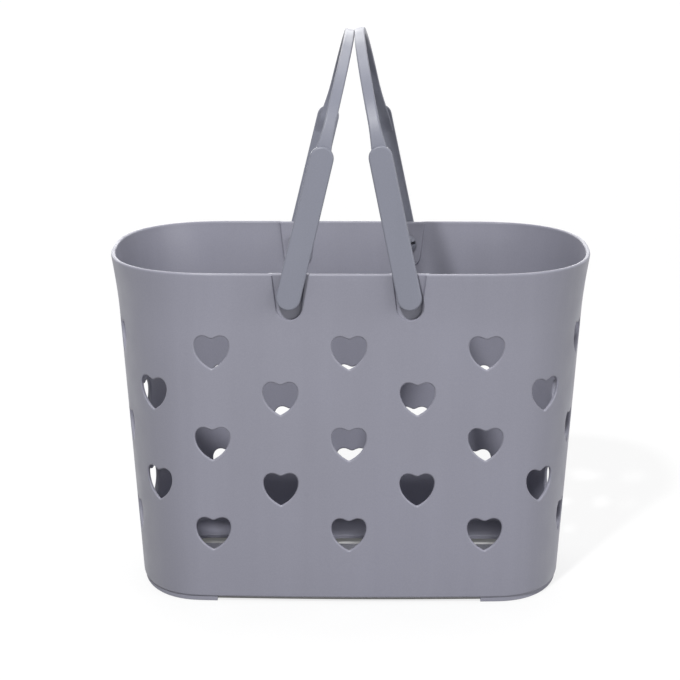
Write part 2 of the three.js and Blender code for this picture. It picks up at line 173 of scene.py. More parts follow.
# Fineness of the meshes
PLAN_LEVELS = 256
PLAN_SAMPLES = 4096
QUARTER_SAMPLES = 700
GRID = 0.0036
SUPPORT = 0.0005
ROUND_STEPS = 4
ARC_STEPS = 24
ARCH_STEPS = 72
ARCH_SPACING = 1.15
ROOT_STEPS = 10
FLANK_ROWS = 7
FLANK_SHARES = (-1, -0.5, 0, 0.5, 1)
CLOSEST = 0.55
PATCH_POINTS = 240

# A foot's even stations, and the share of the girth beside an end that is sure to hold it
FOOT_STATIONS = 97
FOOT_REACH = 0.22

# Steps to both sides for directions, and the step and rounds of the search in trace
OUTWARD_STEP = 0.0005
NORMAL_STEP = 0.00004
TRACE_STEP = 0.0002
TRACE_ROUNDS = 6

# Heights this close are the same, and flat points this close are joined
TINY = 1e-9
WELD = 1e-7

# Output of Blender's triangulation: triangles inside the outermost edges
TRIANGLES_INSIDE = 1

# Angles of a rounded edge with its start, and the same a step finer without it
ROUND_ANGLES = np.linspace(0, math.pi / 2, ROUND_STEPS + 1)
EDGE_ANGLES = np.linspace(0, math.pi / 2, ROUND_STEPS + 2)[1:]
UP = np.array([0, 0, 1.0])


def smooth(t):
    """Share from 0 to 1 that starts and ends level."""
    return t * t * (3 - 2 * t)


def running_length(line):
    """Length along a line of points up to each of them."""
    return np.concatenate([[0], np.cumsum(np.linalg.norm(np.diff(line, axis=0), axis=1))])


def points_at(line, run, places):
    """Points of a line at lengths along it."""
    return np.column_stack([np.interp(places, run, line[:, 0]), np.interp(places, run, line[:, 1])])


def size_at(z):
    """Half length, half depth, half straight stretch, bow and corner power at a height."""
    share = z / WALL_HIGH
    rise = min(1.0, max(0.0, 1 - (WALL_HIGH - z) / FLARE_HEIGHT))
    flare = FLARE * rise ** FLARE_POWER

    def mix(base, rim):
        return base + (rim - base) * share

    length = mix(BASE_LENGTH / 2, RIM_LENGTH / 2 - FLARE) + flare
    depth = mix(BASE_DEPTH / 2, RIM_DEPTH / 2 - FLARE) + flare
    straight = mix(STRAIGHT_BASE, STRAIGHT_RIM)
    bow = mix(BOW_BASE, BOW_RIM)
    power = mix(POWER_BASE, POWER_RIM)
    return length, depth, straight, bow, power


def outline_row(z):
    """The outline at a height in even steps from the middle of the front towards +X, and its
    girth."""
    length, depth, straight, bow, power = size_at(z)
    flat = depth - bow
    angle = np.linspace(0, math.pi / 2, QUARTER_SAMPLES)
    x = straight + (length - straight) * np.clip(np.cos(angle), 0, 1) ** (2 / power)
    y = flat * np.sin(angle) ** (2 / power)
    x = np.append(x, np.linspace(straight, 0, QUARTER_SAMPLES)[1:])
    y = np.append(y, np.full(QUARTER_SAMPLES - 1, flat))
    y = y + bow * (1 - (x / length) ** 2) * (y / flat)
    quarter = np.column_stack([x, y])
    front_right = quarter[::-1] * [1, -1]
    back_left = quarter[::-1] * [-1, 1]
    loop = np.vstack([front_right, quarter[1:], back_left[1:], (quarter * [-1, -1])[1:]])
    run = running_length(loop)
    even = np.linspace(0, run[-1], PLAN_SAMPLES, endpoint=False)
    return points_at(loop, run, even), run[-1]


PLAN_HEIGHTS = np.linspace(0, RIM_HEIGHT, PLAN_LEVELS)
plan_rows = [outline_row(z) for z in PLAN_HEIGHTS]
PLAN = np.array([row for row, _ in plan_rows])
GIRTHS = np.array([girth for _, girth in plan_rows])
GIRTH = GIRTHS.mean()

# The level just below the last one, so that there is always one above
TOP_LEVEL = PLAN_LEVELS - 1.001

# Where the wall's mesh is cut open: on the back, between two columns of hearts
SEAM_OFFSET = 0.017
SEAM = 0.5 + SEAM_OFFSET / GIRTH


def plan_point(share, z):
    """Points on the outline at shares of the girth, counted from the middle of the front."""
    level = np.clip(z / RIM_HEIGHT * (PLAN_LEVELS - 1), 0, TOP_LEVEL)
    low = level.astype(int)
    place = np.mod(share, 1) * PLAN_SAMPLES
    left = place.astype(int) % PLAN_SAMPLES
    right = (left + 1) % PLAN_SAMPLES
    u = (place - np.floor(place))[:, None]
    v = (level - low)[:, None]
    below = PLAN[low, left] * (1 - u) + PLAN[low, right] * u
    above = PLAN[low + 1, left] * (1 - u) + PLAN[low + 1, right] * u
    return below * (1 - v) + above * v


def girth_at(z):
    return np.interp(z, PLAN_HEIGHTS, GIRTHS)


def outward(share, z):
    """Level outward direction of the wall."""
    step = OUTWARD_STEP / GIRTH
    along = plan_point(share + step, z) - plan_point(share - step, z)
    along /= np.linalg.norm(along, axis=1)[:, None]
    return np.column_stack([along[:, 1], -along[:, 0], np.zeros(len(along))])


def recess_distance(x, z):
    """Distance from the edge of the nearer handle recess, negative inside it."""
    across = np.abs(np.abs(x) - PIVOT_X)
    half = RECESS_BOTTOM_RADIUS + RECESS_SPREAD * (z - RECESS_ARC_Z)
    beside = (across - half) * RECESS_SLANT
    below = np.hypot(across, z - RECESS_ARC_Z) - RECESS_BOTTOM_RADIUS
    return np.where(z > RECESS_ARC_Z, beside, below)


def sunk(distance):
    """Share of the recess's depth: 1 inside, 0 outside, with a short smooth flank between."""
    return 1 - smooth(np.clip((distance + RECESS_EDGE) / (2 * RECESS_EDGE), 0, 1))


def skin(share, z, depth):
    """Points of the wall: depth 0 is the outside, 1 the inside, and between them inside it."""
    values = (np.asarray(value, float) for value in (share, z, depth))
    share, z, depth = np.broadcast_arrays(*values)
    flat = plan_point(share, z)
    distance = recess_distance(flat[:, 0], z)
    outside = RECESS_DEPTH * sunk(distance)
    inside = WALL + RECESS_DEPTH * sunk(distance - PAD_BORDER)
    inward = -outward(share, z) * (outside + (inside - outside) * depth)[:, None]
    return np.column_stack([flat, z]) + inward


def skin_normal(share, z, inside):
    """Directions square to the outside of the wall, or to its inside."""
    step = NORMAL_STEP
    depth = 1.0 if inside else 0.0
    z = np.asarray(z, float)
    along = skin(share + step / GIRTH, z, depth) - skin(share - step / GIRTH, z, depth)
    up = skin(share, z + step, depth) - skin(share, z - step, depth)
    normal = np.cross(along, up)
    normal /= np.linalg.norm(normal, axis=1)[:, None]
    return -normal if inside else normal


def trace(centre_share, centre_z, across, flat, depth=None):
    """Shares and heights at which points drawn in an upright plane through a point of the wall
    meet the wall: its plain outside, or the given depth in it. What lies beyond the seam is
    counted from its other side."""
    centre = plan_point(np.array([centre_share]), np.array([centre_z]))[0]
    z = centre_z + flat[:, 1]
    share = centre_share + flat[:, 0] / girth_at(z)
    step = TRACE_STEP / GIRTH

    def place(at):
        return plan_point(at, z) if depth is None else skin(at, z, depth)[:, :2]

    for _ in range(TRACE_ROUNDS):
        here = place(share)
        slope = (place(share + step) - here) @ across / step
        share = share + (flat[:, 0] - (here - centre) @ across) / slope
    return (share - 1 if share.mean() > SEAM else share), z


def new_object(name, data):
    made = bpy.data.objects.new(name, data)
    bpy.context.scene.collection.objects.link(made)
    return made


class Piece:
    """Points, directions and faces of one visible piece."""

    def __init__(self):
        self.points = []
        self.normals = []
        self.faces = []

    def add(self, points, normals):
        start = len(self.points)
        self.points.extend(np.asarray(points, float).tolist())
        self.normals.extend(np.asarray(normals, float).tolist())
        return np.arange(start, len(self.points))

    def band(self, first, second, closed=True):
        """Quads between two rings that hold the same number of points."""
        count = len(first)
        for i in range(count if closed else count - 1):
            j = (i + 1) % count
            self.faces.append((first[i], first[j], second[j], second[i]))

    def rings(self, rings):
        """Adds rings of (points, normals) and joins each to the next. Returns their indices."""
        ids = [self.add(points, normals) for points, normals in rings]
        for first, second in zip(ids[:-1], ids[1:]):
            self.band(first, second)
        return ids

    def cap(self, ring, facing):
        """Closes a ring with one sharp-edged face that looks a given way."""
        points = [self.points[i] for i in ring]
        self.faces.append(tuple(self.add(points, np.tile(facing, (len(points), 1)))))

    def place(self, turn, shift):
        """Turns the piece by a matrix and then moves it."""
        self.points = (np.array(self.points) @ turn.T + shift).tolist()
        self.normals = (np.array(self.normals) @ turn.T).tolist()

    def build(self, name, material):
        """Makes the mesh object, with every face turned to its points' directions."""
        points = np.array(self.points)
        normals = np.array(self.normals)
        normals /= np.linalg.norm(normals, axis=1)[:, None]
        faces = []
        for face in self.faces:
            corners = points[list(face)]
            spokes = corners - corners.mean(axis=0)
            facing = np.cross(spokes, np.roll(spokes, -1, axis=0)).sum(axis=0)
            turned = facing @ normals[list(face)].sum(axis=0) < 0
            faces.append(face[::-1] if turned else face)
        used = np.unique(np.concatenate([np.array(face) for face in faces]))
        new = np.full(len(points), -1)
        new[used] = np.arange(len(used))
        mesh = bpy.data.meshes.new(name)
        numbered = [tuple(int(new[i]) for i in face) for face in faces]
        mesh.from_pydata(points[used].tolist(), [], numbered)
        mesh.polygons.foreach_set("use_smooth", [True] * len(mesh.polygons))
        mesh.normals_split_custom_set_from_vertices(normals[used].tolist())
        mesh.materials.append(material)
        return new_object(name, mesh)


def bezier(points, steps):
    """Points of a cubic curve, without its last one."""
    t = np.linspace(0, 1, steps, endpoint=False)[:, None]
    a, b, c, d = (np.array(p, float) for p in points)
    return a * (1 - t) ** 3 + 3 * b * t * (1 - t) ** 2 + 3 * c * t ** 2 * (1 - t) + d * t ** 3


def closed_normals(outline):
    """Directions away from the middle of a closed counter-clockwise outline."""
    along = np.roll(outline, -1, axis=0) - np.roll(outline, 1, axis=0)
    along /= np.linalg.norm(along, axis=1)[:, None]
    return np.column_stack([along[:, 1], -along[:, 0]])


def heart_outline():
    """A heart about its middle, counter-clockwise from the notch."""
    right = np.vstack([bezier(points, steps) for points, steps in HEART_HALF])
    left = np.vstack([[(0, 1)], right[:0:-1] * [-1, 1]])
    clockwise = np.vstack([right, left])
    across = clockwise[:, 0] * HEART_WIDTH
    up = (0.5 - clockwise[:, 1]) * HEART_HEIGHT
    return np.column_stack([across, up])[::-1]


def arc(x, radius, angle):
    return np.column_stack([x + radius * np.cos(angle), radius * np.sin(angle)])


def circle(x, radius):
    return arc(x, radius, np.linspace(0, 2 * math.pi, 2 * ARC_STEPS, endpoint=False))


def stadium_outline(x, y):
    """A drain slot's outline, counter-clockwise."""
    radius = SLOT_WIDTH / 2
    half = SLOT_LENGTH / 2 - radius
    angle = np.linspace(-math.pi / 2, math.pi / 2, ARC_STEPS // 2 + 1)
    right = np.column_stack([x + half + radius * np.cos(angle), y + radius * np.sin(angle)])
    left = np.column_stack([x - half - radius * np.cos(angle), y - radius * np.sin(angle)])
    return np.vstack([right, left])


def heart_places():
    """Share of the girth and height of each heart, and whether it is at a corner. Even rows have
    three hearts on each long side and two on each end. Odd rows have two on each long side, one
    on the middle of each end, and one at each corner, half-way between these."""
    places = []
    for row in range(HEART_ROWS):
        z = HEART_LOW_ROW + row * HEART_ROW_STEP
        girth = girth_at(z)
        end = girth / 4
        corner = (HEART_PITCH / 2 + end) / 2
        if row % 2 == 0:
            half = [(-HEART_PITCH, False), (0, False), (HEART_PITCH, False)]
            half += [(end - HEART_END_PITCH / 2, False), (end + HEART_END_PITCH / 2, False)]
        else:
            half = [(-HEART_PITCH / 2, False), (HEART_PITCH / 2, False)]
            half += [(corner, True), (end, False), (girth / 2 - corner, True)]
        for side in SIDES:
            places += [(distance / girth + side, z, at_corner) for distance, at_corner in half]
    return places


class Hole:
    """An opening cut level through the wall, drawn in the upright plane square to the cut. It is
    cut square to the wall, or at a corner half-way between that and straight from the front or
    back."""

    def __init__(self, share, z, outline, rounding, at_corner=False):
        self.share, self.z, self.outline, self.rounding = share, z, outline, rounding
        self.away = closed_normals(outline)
        cut = outward(np.array([share]), np.array([z]))[0]
        if at_corner:
            cut = cut + [0, np.sign(cut[1]), 0]
            cut /= np.linalg.norm(cut)
        self.across = np.array([-cut[1], cut[0]])
        level = np.append(self.across, 0)
        self.away_in_space = self.away[:, :1] * level + self.away[:, 1:] * UP

    def loop(self, offset, depth):
        return trace(self.share, self.z, self.across, self.outline + self.away * offset, depth)

    def fill(self, piece, outside_ids, inside_ids):
        """Rounded edges and the wall of the opening, joined to the loops on the two skins."""
        rings = []
        for inside in (False, True):
            side = []
            for angle in ROUND_ANGLES:
                down = self.rounding * (1 - math.cos(angle)) / WALL
                depth = 1 - down if inside else down
                share, z = self.loop(self.rounding * (1 - math.sin(angle)), depth)
                surface = skin_normal(share, z, inside)
                normals = surface * math.cos(angle) - self.away_in_space * math.sin(angle)
                side.append((skin(share, z, depth), normals))
            rings += side[::-1] if inside else side
        ids = piece.rings(rings)
        piece.band(outside_ids, ids[0])
        piece.band(ids[-1], inside_ids)


def inside_polygon(point, polygon):
    x, y = point
    run = np.roll(polygon, -1, axis=0) - polygon
    crossing = (polygon[:, 1] > y) != (np.roll(polygon[:, 1], -1) > y)
    with np.errstate(divide="ignore", invalid="ignore"):
        at = polygon[:, 0] + (y - polygon[:, 1]) * run[:, 0] / run[:, 1]
    return bool(np.count_nonzero(crossing & (x < at)) % 2)


def triangulate(points, edges, loops):
    """Triangles over flat points that respect the edges and leave the loops open."""
    corners = [Vector(p) for p in points]
    _, _, faces, origin, *_ = delaunay_2d_cdt(corners, edges, [], TRIANGLES_INSIDE, WELD)
    old = [ids[0] if ids else -1 for ids in origin]
    if -1 in old:
        raise ValueError("the outlines of the openings cross each other")
    owner = np.full(len(points), -1)
    for number, loop in enumerate(loops):
        owner[loop] = number
    kept = []
    for face in faces:
        corners = [old[i] for i in face]
        loop = owner[corners[0]]
        if loop >= 0 and all(owner[i] == loop for i in corners):
            centre = np.mean([points[i] for i in corners], axis=0)
            if inside_polygon(centre, points[loops[loop]]):
                continue
        kept.append(tuple(corners))
    return kept


def ring_edges(ids):
    return [(ids[i], ids[(i + 1) % len(ids)]) for i in range(len(ids))]


def recess_lines():
    """Lines along the flanks of the recesses and pads, front and back, as shares and heights from
    the rim down and up again."""
    heights = np.linspace(WALL_HIGH, RECESS_ARC_Z, FLANK_ROWS)
    widening = RECESS_SPREAD * (heights - RECESS_ARC_Z)
    angles = np.linspace(math.pi, 2 * math.pi, ARC_STEPS)[1:-1]
    lines = []
    for border in (0, PAD_BORDER):
        for share in FLANK_SHARES:
            offset = border + RECESS_EDGE * share
            half = RECESS_BOTTOM_RADIUS + widening + offset / RECESS_SLANT
            radius = RECESS_BOTTOM_RADIUS + offset
            x = np.concatenate([-half, radius * np.cos(angles), half[::-1]])
            z = np.concatenate([heights, RECESS_ARC_Z + radius * np.sin(angles), heights[::-1]])
            for centre, across in zip(SIDES, (1, -1)):
                for side in (-1, 1):
                    flat = np.column_stack([x + side * PIVOT_X, z - PIVOT_Z])
                    lines.append(trace(centre, PIVOT_Z, np.array([across, 0]), flat))
    return lines


def wall_holes():
    """The hearts and the pivot holes."""
    heart = heart_outline()
    holes = [Hole(share, z, heart, HEART_ROUND, corner) for share, z, corner in heart_places()]
    for centre in SIDES:
        for side in (-1, 1):
            outline = circle(side * PIVOT_X, HOLE_RADIUS)
            holes.append(Hole(centre, PIVOT_Z, outline, HOLE_ROUND))
    return holes


class Layout:
    """Points of the wall laid out flat, by share of the girth and height, and the edges that its
    triangles follow."""

    def __init__(self):
        self.shares = np.empty(0)
        self.heights = np.empty(0)
        self.edges = []

    def add(self, share, z):
        start = len(self.shares)
        self.shares = np.append(self.shares, share)
        self.heights = np.append(self.heights, np.broadcast_to(z, len(share)))
        return list(range(start, len(self.shares)))

    def join(self, ids):
        self.edges += list(zip(ids[:-1], ids[1:]))

    def flat(self):
        return np.column_stack([self.shares * GIRTH, self.heights])


def lattice(fixed, loops, rows, columns):
    """Staggered points of an even mesh that keep clear of the fixed points and lie outside the
    openings, as shares and heights."""
    spots = []
    for number, z in enumerate(rows[1:-1]):
        shift = (number % 2) / 2
        spots += [(SEAM - 1 + (column + shift) / columns, z) for column in range(1, columns)]
    spots = np.array(spots)

    def free(spot):
        if np.min(np.sum((fixed - spot) ** 2, axis=1)) <= (CLOSEST * GRID) ** 2:
            return False
        near = [loop for loop in loops if abs(fixed[loop[0]][0] - spot[0]) < 2 * HEART_WIDTH]
        return not any(inside_polygon(spot, fixed[loop]) for loop in near)

    return spots[[free(spot) for spot in spots * [GIRTH, 1]]]


def skin_mesh(piece, holes, depth):
    """One skin of the wall with its openings. Returns its edges below and above, as shares and
    points, and the loop of points round each opening."""
    layout = Layout()
    ends = [SEAM - 1, SEAM]
    for share, z in recess_lines():
        layout.join(layout.add(share, z))
        ends += [share[0], share[-1]]
    loops = [layout.add(*hole.loop(hole.rounding + SUPPORT, depth)) for hole in holes]
    for loop in loops:
        layout.edges += ring_edges(loop)
    columns = round(GIRTH / GRID)
    levels = round((WALL_HIGH - WALL_LOW) / GRID)
    rows = np.linspace(WALL_LOW, WALL_HIGH, levels + 1)
    even = np.linspace(SEAM - 1, SEAM, columns + 1)
    gap = np.abs(even[:, None] - np.array(ends)[None, :]).min(axis=1) * GIRTH
    layout.add(even[gap >= GRID * CLOSEST], WALL_HIGH)
    low = layout.add(even, WALL_LOW)
    left = layout.add(np.full(levels, SEAM - 1), rows[1:])
    right = layout.add(np.full(levels, SEAM), rows[1:])
    on_top = np.where(np.abs(layout.heights - WALL_HIGH) < TINY)[0]
    top = on_top[np.argsort(layout.shares[on_top])].tolist()
    for line in (low, [low[0]] + left, [low[-1]] + right, top):
        layout.join(line)
    spots = lattice(layout.flat(), loops, rows, columns)
    layout.add(spots[:, 0], spots[:, 1])

    triangles = triangulate(layout.flat(), layout.edges, loops)
    shares, heights = layout.shares, layout.heights
    same = np.arange(len(shares))
    same[right] = left
    same[low[-1]] = low[0]
    normals = skin_normal(shares, heights, depth > 0)
    ids = piece.add(skin(shares, heights, depth), normals)[same]
    piece.faces += [tuple(ids[i] for i in face) for face in triangles]
    below = low[:-1]
    above = [i for i in top if i not in right]
    loops = [ids[loop] for loop in loops]
    return (shares[below], ids[below]), (shares[above], ids[above]), loops


def wall_mesh(piece):
    """Both skins of the wall and what joins them round the openings. Returns the wall's lower and
    upper edges, each as shares, points outside and points inside."""
    holes = wall_holes()
    lower, upper, outer_loops = skin_mesh(piece, holes, 0.0)
    inner_lower, inner_upper, inner_loops = skin_mesh(piece, holes, 1.0)
    for hole, outer, inner in zip(holes, outer_loops, inner_loops):
        hole.fill(piece, outer, inner)
    return (*lower, inner_lower[1]), (*upper, inner_upper[1])


def rounded(edge, out, onward, radius):
    """Rings that turn an edge from facing out to facing onward."""
    rings = []
    for angle in EDGE_ANGLES:
        inward = out * radius * (1 - math.cos(angle))
        points = edge - inward + onward * radius * math.sin(angle)
        rings.append((points, out * math.cos(angle) + onward * math.sin(angle)))
    return rings


def rim_mesh(piece, upper):
    """Rounded edge over the top of the wall."""
    share, outside, inside = upper
    z = np.full(len(share), WALL_HIGH)
    out = outward(share, z)
    rings = rounded(skin(share, z, 0.0), out, UP, RIM_ROUND)
    rings += rounded(skin(share, z, 1.0), -out, UP, RIM_ROUND)[::-1]
    ids = piece.rings(rings)
    piece.band(outside, ids[0])
    piece.band(ids[-1], inside)


def slot_centres():
    """Middles of the drain slots: wherever a whole slot and its margin fit on the flat of the
    floor."""
    length, depth, straight, _, power = size_at(0)
    edge = BASE_ROUND + FOOT_INSET + FOOT_WIDTH + SLOT_MARGIN
    rows = math.floor(depth / SLOT_ROW_STEP)
    columns = math.ceil(length / SLOT_PITCH)
    centres = []
    for row in range(-rows, rows + 1):
        for column in range(-columns, columns + 1):
            x = (column + (0.5 if row % 2 == 0 else 0)) * SLOT_PITCH
            y = row * SLOT_ROW_STEP
            far_x = max(0, abs(x) + SLOT_LENGTH / 2 + edge - straight) / (length - straight)
            far_y = (abs(y) + SLOT_WIDTH / 2 + edge) / depth
            if far_x ** power + far_y ** power < 1:
                centres.append((x, y))
    return centres


def base_edges(piece, lower):
    """Rounded edge under the wall and the fillet inside it. Returns the outlines of the floor's
    two sides."""
    share, outside, inside = lower
    z = np.full(len(share), FOOT_HEIGHT + BASE_ROUND)
    edge = skin(share, z, 0.0)
    start = (edge, skin_normal(share, z, False))
    outer = piece.rings([start] + rounded(edge, outward(share, z), -UP, BASE_ROUND))
    piece.band(outside, outer[0])
    z = np.full(len(share), WALL_LOW)
    fillet = rounded(skin(share, z, 1.0), outward(share, z), -UP, FLOOR_FILLET)
    inner = piece.rings([(points, -normals) for points, normals in fillet])
    piece.band(inside, inner[0])
    return outer[-1], inner[-1]


def slotted_flat(piece, outline, slots, facing, level):
    """One side of the floor between its outline and the slots. Returns the loop of points round
    each slot."""
    border = np.array([piece.points[i][:2] for i in outline])
    around = np.vstack([slot + closed_normals(slot) * (SLOT_ROUND + SUPPORT) for slot in slots])
    flat = np.vstack([border, around])
    starts = range(len(border), len(flat), len(slots[0]))
    loops = [list(range(start, start + len(slots[0]))) for start in starts]
    edges = ring_edges(range(len(border)))
    for loop in loops:
        edges += ring_edges(loop)
    points = np.column_stack([around, np.full(len(around), level)])
    new = piece.add(points, np.tile([0, 0, facing], (len(around), 1)))
    index = np.concatenate([outline, new])
    for face in triangulate(flat, edges, loops):
        piece.faces.append(tuple(index[i] for i in face))
    return [index[loop] for loop in loops]


def slot_wall(piece, slot, below, above):
    """Rounded edges and the wall of one drain slot, joined to the loops below and above."""
    away = closed_normals(slot)
    rings = []
    for facing, level in FLOOR_SIDES:
        side = []
        for angle in ROUND_ANGLES:
            flat = slot + away * SLOT_ROUND * (1 - math.sin(angle))
            z = level - facing * SLOT_ROUND * (1 - math.cos(angle))
            points = np.column_stack([flat, np.full(len(flat), z)])
            up = np.full(len(flat), facing * math.cos(angle))
            side.append((points, np.column_stack([-away * math.sin(angle), up])))
        rings += side if facing < 0 else side[::-1]
    ids = piece.rings(rings)
    piece.band(below, ids[0])
    piece.band(ids[-1], above)


def floor_mesh(piece, lower):
    """Rounded base edge, inner fillet, and the floor with its drain slots."""
    outlines = base_edges(piece, lower)
    slots = [stadium_outline(x, y) for x, y in slot_centres()]
    sides = [slotted_flat(piece, outline, slots, facing, level)
             for outline, (facing, level) in zip(outlines, FLOOR_SIDES)]
    for slot, below, above in zip(slots, *sides):
        slot_wall(piece, slot, below, above)


def beyond(row, limit):
    """Even points along the stretch of a row that lies further out in X than a limit."""
    run = running_length(row)
    far_out = np.where(np.abs(row[:, 0]) > limit)[0]
    first, last = far_out[0], far_out[-1]
    start = np.interp(limit, np.abs(row[[first - 1, first], 0]), run[[first - 1, first]])
    end = np.interp(limit, np.abs(row[[last + 1, last], 0]), run[[last + 1, last]])
    return points_at(row, run, np.linspace(start, end, FOOT_STATIONS))


def feet_mesh(piece):
    """Crescent under each end that follows the base's outline, its top sunk into the floor."""
    top = FOOT_HEIGHT + FLOOR / 2
    for centre in ENDS:
        share = centre + np.linspace(-FOOT_REACH, FOOT_REACH, 4 * FOOT_STATIONS)
        z = np.full(len(share), FOOT_HEIGHT + BASE_ROUND)
        edge = skin(share, z, 0.0)[:, :2]
        out = outward(share, z)[:, :2]
        near = beyond(edge - out * FOOT_FACE, FOOT_START)
        far = beyond(edge - out * (BASE_ROUND + FOOT_INSET + FOOT_WIDTH), FOOT_START)
        across = far - near
        across /= np.linalg.norm(across, axis=1)[:, None]
        section = [(near, 0.0, top, -1.0, 0.0)]
        for row, sign, turns in ((near, 1, ROUND_ANGLES), (far, -1, ROUND_ANGLES[::-1])):
            for angle in turns:
                inset = sign * FOOT_ROUND * (1 - math.cos(angle))
                level = FOOT_ROUND * (1 - math.sin(angle))
                section.append((row, inset, level, -sign * math.cos(angle), -math.sin(angle)))
        section.append((far, 0.0, top, 1.0, 0.0))
        rows = []
        for row, inset, level, along, up in section:
            points = np.column_stack([row + across * inset, np.full(len(row), level)])
            normals = np.column_stack([across * along, np.full(len(row), up)])
            rows.append(piece.add(points, normals))
        for first, second in zip(rows, rows[1:] + rows[:1]):
            piece.band(first, second, closed=False)
        for end in (0, -1):
            ring = [row[end] for row in rows]
            piece.cap(ring, [-np.sign(piece.points[ring[0]][0]), 0, 0])


def basket_shell(material):
    piece = Piece()
    lower, upper = wall_mesh(piece)
    rim_mesh(piece, upper)
    floor_mesh(piece, lower)
    feet_mesh(piece)
    return piece.build("basket_shell", material)


def upright(flat, y):
    """Flat points or directions, set upright at a distance from the middle plane."""
    return np.column_stack([flat[:, 0], np.full(len(flat), y), flat[:, 1]])


def arm_outline():
    """Tapered bar with round ends: the root about the pivot, the top above it."""
    slope = math.asin((ARM_ROOT_RADIUS - ARM_TOP_RADIUS) / ARM_LENGTH)
    root = np.linspace(math.pi - slope, 2 * math.pi + slope, ARC_STEPS)
    top = np.linspace(slope, math.pi - slope, ARC_STEPS)
    return np.vstack([arc(0, ARM_ROOT_RADIUS, root), arc(0, ARM_TOP_RADIUS, top) + [0, ARM_LENGTH]])


def arm_mesh(piece, inner_face, outer_face, turn):
    """Plate of one arm, rounded round both faces."""
    outline = arm_outline()
    away = closed_normals(outline)
    rings = []
    for face, facing, rounding in ((inner_face, -1, ARM_EDGE), (outer_face, 1, ARM_FACE_ROUND)):
        side = []
        for angle in np.linspace(math.pi / 2, 0, ROUND_STEPS + 2):
            inset = rounding * (1 - math.cos(angle))
            y = face - facing * rounding * (1 - math.sin(angle))
            normals = upright(away * math.cos(angle), facing * math.sin(angle))
            side.append((upright(outline - away * inset, y) * turn, normals * turn))
        rings += side if facing < 0 else side[::-1]
    ids = piece.rings(rings)
    piece.faces.append(tuple(ids[0]))
    piece.faces.append(tuple(ids[-1]))


def arch_point(share, foot, crown):
    """Strap's centre line: level distance from the middle and height above the pivot."""
    if share < 0:
        return foot, ARM_LENGTH + share * STRAP_ROOT
    angle = share * math.pi / 2
    level = foot * max(0.0, math.cos(angle)) ** (2 / ARCH_POWER)
    return level, ARM_LENGTH + (crown - ARM_LENGTH) * math.sin(angle) ** (2 / ARCH_POWER)


def strap_width(share, height):
    """Width of the strap: spread at the arms and narrow at the crown."""
    spread = max(0.0, 1 - max(0.0, height - ARM_LENGTH) / STRAP_FOOT_LENGTH) ** 2
    narrow = max(0.0, share) ** 3
    width = STRAP_WIDTH + (STRAP_FOOT_WIDTH - STRAP_WIDTH) * spread
    width -= (STRAP_WIDTH - STRAP_CROWN_WIDTH) * narrow
    return width + (STRAP_ROOT_WIDTH - STRAP_FOOT_WIDTH) * max(0.0, -share)


def strap_section(width, share):
    """Rounded rectangle across the strap, as points across and outward, and directions across,
    outward and along. Below the foot its inner half sinks smoothly into the arm."""
    t = max(0.0, -share)
    steepness = 6 * t * (1 - t) / STRAP_ROOT
    flush = STRAP_SETBACK + STRAP_THICKNESS / 2 - ARM_THICKNESS + STRAP_SINK
    core = np.array([width / 2 - STRAP_ROUND, STRAP_THICKNESS / 2 - STRAP_ROUND])
    points, normals = [], []
    for corner, start in (((1, 1), 0), ((-1, 1), 90), ((-1, -1), 180), ((1, -1), 270)):
        for angle in np.radians(np.linspace(start, start + 90, ROUND_STEPS + 2)):
            direction = np.array([math.cos(angle), math.sin(angle)])
            spot = core * corner + direction * STRAP_ROUND
            drop = flush - spot[1] if corner[1] < 0 else 0.0
            points.append(spot + [0, drop * smooth(t)])
            normals.append([*direction, drop * steepness * direction[1]])
    return np.array(points), np.array(normals)


def strap_mesh(piece, outer_face):
    """Arched strap, swept over from one arm to the other."""
    foot = outer_face - STRAP_SETBACK - STRAP_THICKNESS / 2
    crown = HANDLE_HEIGHT - STRAP_THICKNESS / 2
    root = np.linspace(-1, 0, ROOT_STEPS + 1)[:-1]
    arch = np.linspace(0, 1, ARCH_STEPS + 1) ** ARCH_SPACING
    half = [(share, *arch_point(share, foot, crown)) for share in np.concatenate([root, arch])]
    line = half + [(share, -y, z) for share, y, z in half[-2::-1]]
    rings = []
    for number, (share, y, z) in enumerate(line):
        _, y0, z0 = line[max(0, number - 1)]
        _, y1, z1 = line[min(len(line) - 1, number + 1)]
        along = np.array([y1 - y0, z1 - z0])
        along /= np.linalg.norm(along)
        out = np.array([along[1], -along[0]])
        up = along if number <= len(line) // 2 else -along
        points, normals = strap_section(strap_width(share, z), share)
        spots = np.column_stack([points[:, 0], [y, z] + points[:, 1:] * out])
        directions = np.column_stack([normals[:, 0], normals[:, 1:] @ np.array([out, up])])
        rings.append((spots, directions))
    ids = piece.rings(rings)
    for ring in (ids[0], ids[-1]):
        piece.cap(ring, -UP)


def recess_floor(z):
    """Distance of a recess's floor from the middle plane at a height."""
    length, depth, _, bow, _ = size_at(z)
    return depth - bow * (PIVOT_X / length) ** 2 - RECESS_DEPTH


